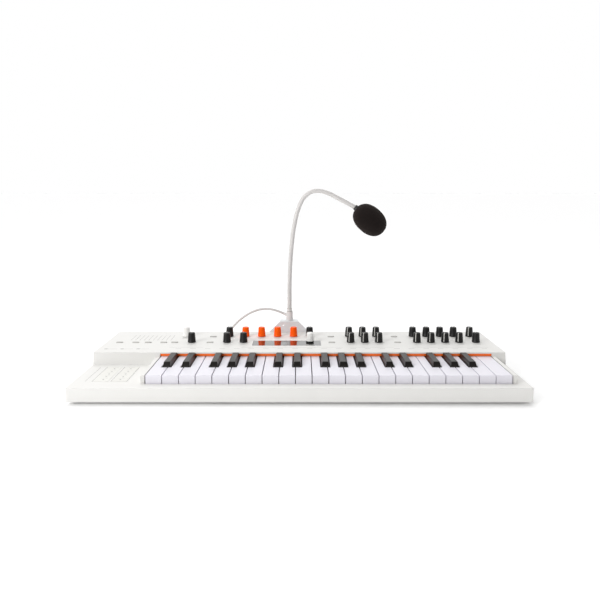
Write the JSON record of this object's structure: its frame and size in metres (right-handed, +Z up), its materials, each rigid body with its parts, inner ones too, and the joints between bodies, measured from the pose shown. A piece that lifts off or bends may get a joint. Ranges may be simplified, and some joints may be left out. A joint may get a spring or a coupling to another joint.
{
  "type": "synthesizer",
  "caption": "Desktop synthesizer with slim keys on a low front tier, a raised panel of knobs and a gooseneck microphone on a rear bracket.",
  "frame": {"origin": "on the table, in the middle of the whole footprint, from the case's front edge to the back of the windscreen", "axes": "+X along the keys to the player's right, +Y to the back, +Z up"},
  "size_m": [0.578, 0.2637, 0.2674],
  "materials": {
    "case_plastic": "fine moulded texture",
    "white_key_plastic": "satin",
    "black_key_plastic": "fine texture",
    "knob_black": "satin",
    "knob_white": "satin",
    "knob_orange": "satin",
    "orange_plastic": "satin",
    "chassis_plastic": "moulded",
    "board_laminate": "solder mask",
    "window_acrylic": "polished",
    "socket_plastic": "moulded",
    "screw_steel": "plated",
    "foot_rubber": "moulded",
    "touch_film": "printed film",
    "button_dark": "satin",
    "bracket_paint": "powder coat",
    "stem_paint": "satin",
    "neck_sheath": "ribbed, satin",
    "foam": "open-cell foam",
    "cable_sheath": "satin",
    "plug_plastic": "moulded"
  },
  "bodies": {
    "root": {"bottom_case": "case_plastic", "top_case": "case_plastic", "rubber_feet": "foot_rubber", "screws": "screw_steel", "touch_strips": "touch_film", "accent_strip": "orange_plastic", "key_chassis": "chassis_plastic", "hinge_rod": "screw_steel", "contact_board": "board_laminate", "main_board": "board_laminate", "display_window": "window_acrylic", "rear_sockets": "socket_plastic", "mic_bracket": "bracket_paint", "mic_stem": "stem_paint", "gooseneck_lower": "neck_sheath", "mic_cable": "cable_sheath", "mic_plug": "plug_plastic"},
    "white_keys_ceg_octave_1": {"white_keys_ceg_octave_1": "white_key_plastic"},
    "white_keys_ceg_octave_2": {"white_keys_ceg_octave_2": "white_key_plastic"},
    "white_keys_ceg_octave_3": {"white_keys_ceg_octave_3": "white_key_plastic"},
    "white_keys_dfa_octave_1": {"white_keys_dfa_octave_1": "white_key_plastic"},
    "white_keys_dfa_octave_2": {"white_keys_dfa_octave_2": "white_key_plastic"},
    "white_keys_dfa_octave_3": {"white_keys_dfa_octave_3": "white_key_plastic"},
    "black_keys_octave_1": {"black_keys_octave_1": "black_key_plastic"},
    "black_keys_octave_2": {"black_keys_octave_2": "black_key_plastic"},
    "black_keys_octave_3": {"black_keys_octave_3": "black_key_plastic"},
    "master_volume_knob": {"master_volume_knob": "knob_white"},
    "tempo_knob": {"tempo_knob": "knob_black"},
    "oscillator_select_knob": {"oscillator_select_knob": "knob_black"},
    "glide_knob": {"glide_knob": "knob_black"},
    "voice_knob": {"voice_knob": "knob_black"},
    "matrix_amount_knob": {"matrix_amount_knob": "knob_black"},
    "cutoff_knob": {"cutoff_knob": "knob_black"},
    "resonance_knob": {"resonance_knob": "knob_black"},
    "filter_drive_knob": {"filter_drive_knob": "knob_black"},
    "filter_envelope_knob": {"filter_envelope_knob": "knob_black"},
    "filter_velocity_knob": {"filter_velocity_knob": "knob_black"},
    "filter_tracking_knob": {"filter_tracking_knob": "knob_black"},
    "cycle_rise_knob": {"cycle_rise_knob": "knob_black"},
    "cycle_fall_knob": {"cycle_fall_knob": "knob_black"},
    "cycle_hold_knob": {"cycle_hold_knob": "knob_black"},
    "lfo_rate_knob": {"lfo_rate_knob": "knob_black"},
    "effect_time_knob": {"effect_time_knob": "knob_black"},
    "attack_knob": {"attack_knob": "knob_black"},
    "decay_knob": {"decay_knob": "knob_black"},
    "sustain_knob": {"sustain_knob": "knob_black"},
    "release_knob": {"release_knob": "knob_black"},
    "effect_mix_knob": {"effect_mix_knob": "knob_black"},
    "wave_encoder": {"wave_encoder": "knob_orange"},
    "timbre_encoder": {"timbre_encoder": "knob_orange"},
    "shape_encoder": {"shape_encoder": "knob_orange"},
    "level_encoder": {"level_encoder": "knob_orange"},
    "menu_encoder": {"menu_encoder": "knob_white"},
    "cheek_buttons": {"cheek_buttons": "button_dark"},
    "panel_buttons": {"panel_buttons": "button_dark"},
    "power_button": {"power_button": "knob_black"},
    "gooseneck_middle": {"gooseneck_middle": "neck_sheath"},
    "microphone_head": {"gooseneck_upper": "neck_sheath", "mic_capsule": "knob_black", "windscreen": "foam"}
  },
  "joints": [
    {"name": "white_keys_ceg_octave_1_press", "type": "hinge", "parent": "root", "child": "white_keys_ceg_octave_1", "pos_m": [0, -0.00435, 0.027], "axis": [1, 0, 0], "range_deg": [0, 3.4], "stiffness_Nm_per_rad": 2, "springref_deg": -3.44},
    {"name": "white_keys_ceg_octave_2_press", "type": "hinge", "parent": "root", "child": "white_keys_ceg_octave_2", "pos_m": [0, -0.00435, 0.027], "axis": [1, 0, 0], "range_deg": [0, 3.4], "stiffness_Nm_per_rad": 2, "springref_deg": -3.44},
    {"name": "white_keys_ceg_octave_3_press", "type": "hinge", "parent": "root", "child": "white_keys_ceg_octave_3", "pos_m": [0, -0.00435, 0.027], "axis": [1, 0, 0], "range_deg": [0, 3.4], "stiffness_Nm_per_rad": 2.5, "springref_deg": -3.44},
    {"name": "white_keys_dfa_octave_1_press", "type": "hinge", "parent": "root", "child": "white_keys_dfa_octave_1", "pos_m": [0, -0.00435, 0.027], "axis": [1, 0, 0], "range_deg": [0, 3.4], "stiffness_Nm_per_rad": 1.5, "springref_deg": -3.44},
    {"name": "white_keys_dfa_octave_2_press", "type": "hinge", "parent": "root", "child": "white_keys_dfa_octave_2", "pos_m": [0, -0.00435, 0.027], "axis": [1, 0, 0], "range_deg": [0, 3.4], "stiffness_Nm_per_rad": 1.5, "springref_deg": -3.44},
    {"name": "white_keys_dfa_octave_3_press", "type": "hinge", "parent": "root", "child": "white_keys_dfa_octave_3", "pos_m": [0, -0.00435, 0.027], "axis": [1, 0, 0], "range_deg": [0, 3.4], "stiffness_Nm_per_rad": 1.5, "springref_deg": -3.44},
    {"name": "black_keys_octave_1_press", "type": "hinge", "parent": "root", "child": "black_keys_octave_1", "pos_m": [0, -0.00435, 0.027], "axis": [1, 0, 0], "range_deg": [0, 3.4], "stiffness_Nm_per_rad": 2.5, "springref_deg": -3.44},
    {"name": "black_keys_octave_2_press", "type": "hinge", "parent": "root", "child": "black_keys_octave_2", "pos_m": [0, -0.00435, 0.027], "axis": [1, 0, 0], "range_deg": [0, 3.4], "stiffness_Nm_per_rad": 2.5, "springref_deg": -3.44},
    {"name": "black_keys_octave_3_press", "type": "hinge", "parent": "root", "child": "black_keys_octave_3", "pos_m": [0, -0.00435, 0.027], "axis": [1, 0, 0], "range_deg": [0, 3.4], "stiffness_Nm_per_rad": 2.5, "springref_deg": -3.44},
    {"name": "master_volume_knob_turn", "type": "hinge", "parent": "root", "child": "master_volume_knob", "pos_m": [-0.17514, 0.06865, 0.0384], "axis": [0, 0, 1], "range_deg": [-150, 150]},
    {"name": "tempo_knob_turn", "type": "hinge", "parent": "root", "child": "tempo_knob", "pos_m": [-0.16083, 0.03219, 0.0384], "axis": [0, 0, 1], "range_deg": [-150, 150]},
    {"name": "oscillator_select_knob_turn", "type": "hinge", "parent": "root", "child": "oscillator_select_knob", "pos_m": [-0.10821, 0.06865, 0.0384], "axis": [0, 0, 1], "range_deg": [-150, 150]},
    {"name": "glide_knob_turn", "type": "hinge", "parent": "root", "child": "glide_knob", "pos_m": [-0.10821, 0.03219, 0.0384], "axis": [0, 0, 1], "range_deg": [-150, 150]},
    {"name": "voice_knob_turn", "type": "hinge", "parent": "root", "child": "voice_knob", "pos_m": [-0.08341, 0.03219, 0.0384], "axis": [0, 0, 1], "range_deg": [-150, 150]},
    {"name": "matrix_amount_knob_turn", "type": "hinge", "parent": "root", "child": "matrix_amount_knob", "pos_m": [0.01578, 0.06865, 0.0384], "axis": [0, 0, 1], "range_deg": [-150, 150]},
    {"name": "cutoff_knob_turn", "type": "hinge", "parent": "root", "child": "cutoff_knob", "pos_m": [0.07661, 0.06865, 0.0384], "axis": [0, 0, 1], "range_deg": [-300, 0]},
    {"name": "resonance_knob_turn", "type": "hinge", "parent": "root", "child": "resonance_knob", "pos_m": [0.09766, 0.06865, 0.0384], "axis": [0, 0, 1], "range_deg": [-300, 0]},
    {"name": "filter_drive_knob_turn", "type": "hinge", "parent": "root", "child": "filter_drive_knob", "pos_m": [0.11871, 0.06865, 0.0384], "axis": [0, 0, 1], "range_deg": [-300, 0]},
    {"name": "filter_envelope_knob_turn", "type": "hinge", "parent": "root", "child": "filter_envelope_knob", "pos_m": [0.07661, 0.03219, 0.0384], "axis": [0, 0, 1], "range_deg": [-300, 0]},
    {"name": "filter_velocity_knob_turn", "type": "hinge", "parent": "root", "child": "filter_velocity_knob", "pos_m": [0.09766, 0.03219, 0.0384], "axis": [0, 0, 1], "range_deg": [-300, 0]},
    {"name": "filter_tracking_knob_turn", "type": "hinge", "parent": "root", "child": "filter_tracking_knob", "pos_m": [0.11871, 0.03219, 0.0384], "axis": [0, 0, 1], "range_deg": [-300, 0]},
    {"name": "cycle_rise_knob_turn", "type": "hinge", "parent": "root", "child": "cycle_rise_knob", "pos_m": [0.17555, 0.06865, 0.0384], "axis": [0, 0, 1], "range_deg": [-150, 150]},
    {"name": "cycle_fall_knob_turn", "type": "hinge", "parent": "root", "child": "cycle_fall_knob", "pos_m": [0.1966, 0.06865, 0.0384], "axis": [0, 0, 1], "range_deg": [-150, 150]},
    {"name": "cycle_hold_knob_turn", "type": "hinge", "parent": "root", "child": "cycle_hold_knob", "pos_m": [0.21765, 0.06865, 0.0384], "axis": [0, 0, 1], "range_deg": [-150, 150]},
    {"name": "lfo_rate_knob_turn", "type": "hinge", "parent": "root", "child": "lfo_rate_knob", "pos_m": [0.2387, 0.06865, 0.0384], "axis": [0, 0, 1], "range_deg": [-150, 150]},
    {"name": "effect_time_knob_turn", "type": "hinge", "parent": "root", "child": "effect_time_knob", "pos_m": [0.26375, 0.06865, 0.0384], "axis": [0, 0, 1], "range_deg": [-300, 0]},
    {"name": "attack_knob_turn", "type": "hinge", "parent": "root", "child": "attack_knob", "pos_m": [0.17555, 0.03219, 0.0384], "axis": [0, 0, 1], "range_deg": [-300, 0]},
    {"name": "decay_knob_turn", "type": "hinge", "parent": "root", "child": "decay_knob", "pos_m": [0.1966, 0.03219, 0.0384], "axis": [0, 0, 1], "range_deg": [-300, 0]},
    {"name": "sustain_knob_turn", "type": "hinge", "parent": "root", "child": "sustain_knob", "pos_m": [0.21765, 0.03219, 0.0384], "axis": [0, 0, 1], "range_deg": [-300, 0]},
    {"name": "release_knob_turn", "type": "hinge", "parent": "root", "child": "release_knob", "pos_m": [0.2387, 0.03219, 0.0384], "axis": [0, 0, 1], "range_deg": [-300, 0]},
    {"name": "effect_mix_knob_turn", "type": "hinge", "parent": "root", "child": "effect_mix_knob", "pos_m": [0.26375, 0.03219, 0.0384], "axis": [0, 0, 1], "range_deg": [-150, 150]},
    {"name": "wave_encoder_turn", "type": "hinge", "parent": "root", "child": "wave_encoder", "pos_m": [-0.08341, 0.06865, 0.0384], "axis": [0, 0, 1], "continuous": true},
    {"name": "timbre_encoder_turn", "type": "hinge", "parent": "root", "child": "timbre_encoder", "pos_m": [-0.05861, 0.06865, 0.0384], "axis": [0, 0, 1], "continuous": true},
    {"name": "shape_encoder_turn", "type": "hinge", "parent": "root", "child": "shape_encoder", "pos_m": [-0.03381, 0.06865, 0.0384], "axis": [0, 0, 1], "continuous": true},
    {"name": "level_encoder_turn", "type": "hinge", "parent": "root", "child": "level_encoder", "pos_m": [-0.00902, 0.06865, 0.0384], "axis": [0, 0, 1], "continuous": true},
    {"name": "menu_encoder_turn", "type": "hinge", "parent": "root", "child": "menu_encoder", "pos_m": [0.01578, 0.03219, 0.0384], "axis": [0, 0, 1], "continuous": true},
    {"name": "cheek_buttons_press", "type": "slide", "parent": "root", "child": "cheek_buttons", "axis": [0, 0, -1], "range_m": [0, 0.0008], "stiffness_N_per_m": 2500, "springref_m": -0.0006},
    {"name": "panel_buttons_press", "type": "slide", "parent": "root", "child": "panel_buttons", "axis": [0, 0, -1], "range_m": [0, 0.0008], "stiffness_N_per_m": 3000, "springref_m": -0.0006},
    {"name": "power_button_press", "type": "slide", "parent": "root", "child": "power_button", "axis": [0, -1, 0], "range_m": [0, 0.0025], "stiffness_N_per_m": 600, "springref_m": -0.001},
    {"name": "gooseneck_lean", "type": "hinge", "parent": "root", "child": "gooseneck_middle", "pos_m": [-0.016, 0.11015, 0.12], "axis": [1, 0, 0], "range_deg": [-25, 25]},
    {"name": "gooseneck_nod", "type": "hinge", "parent": "gooseneck_middle", "child": "microphone_head", "pos_m": [-0.0074, 0.11015, 0.213], "axis": [0, 1, 0], "range_deg": [-25, 25]}
  ]
}
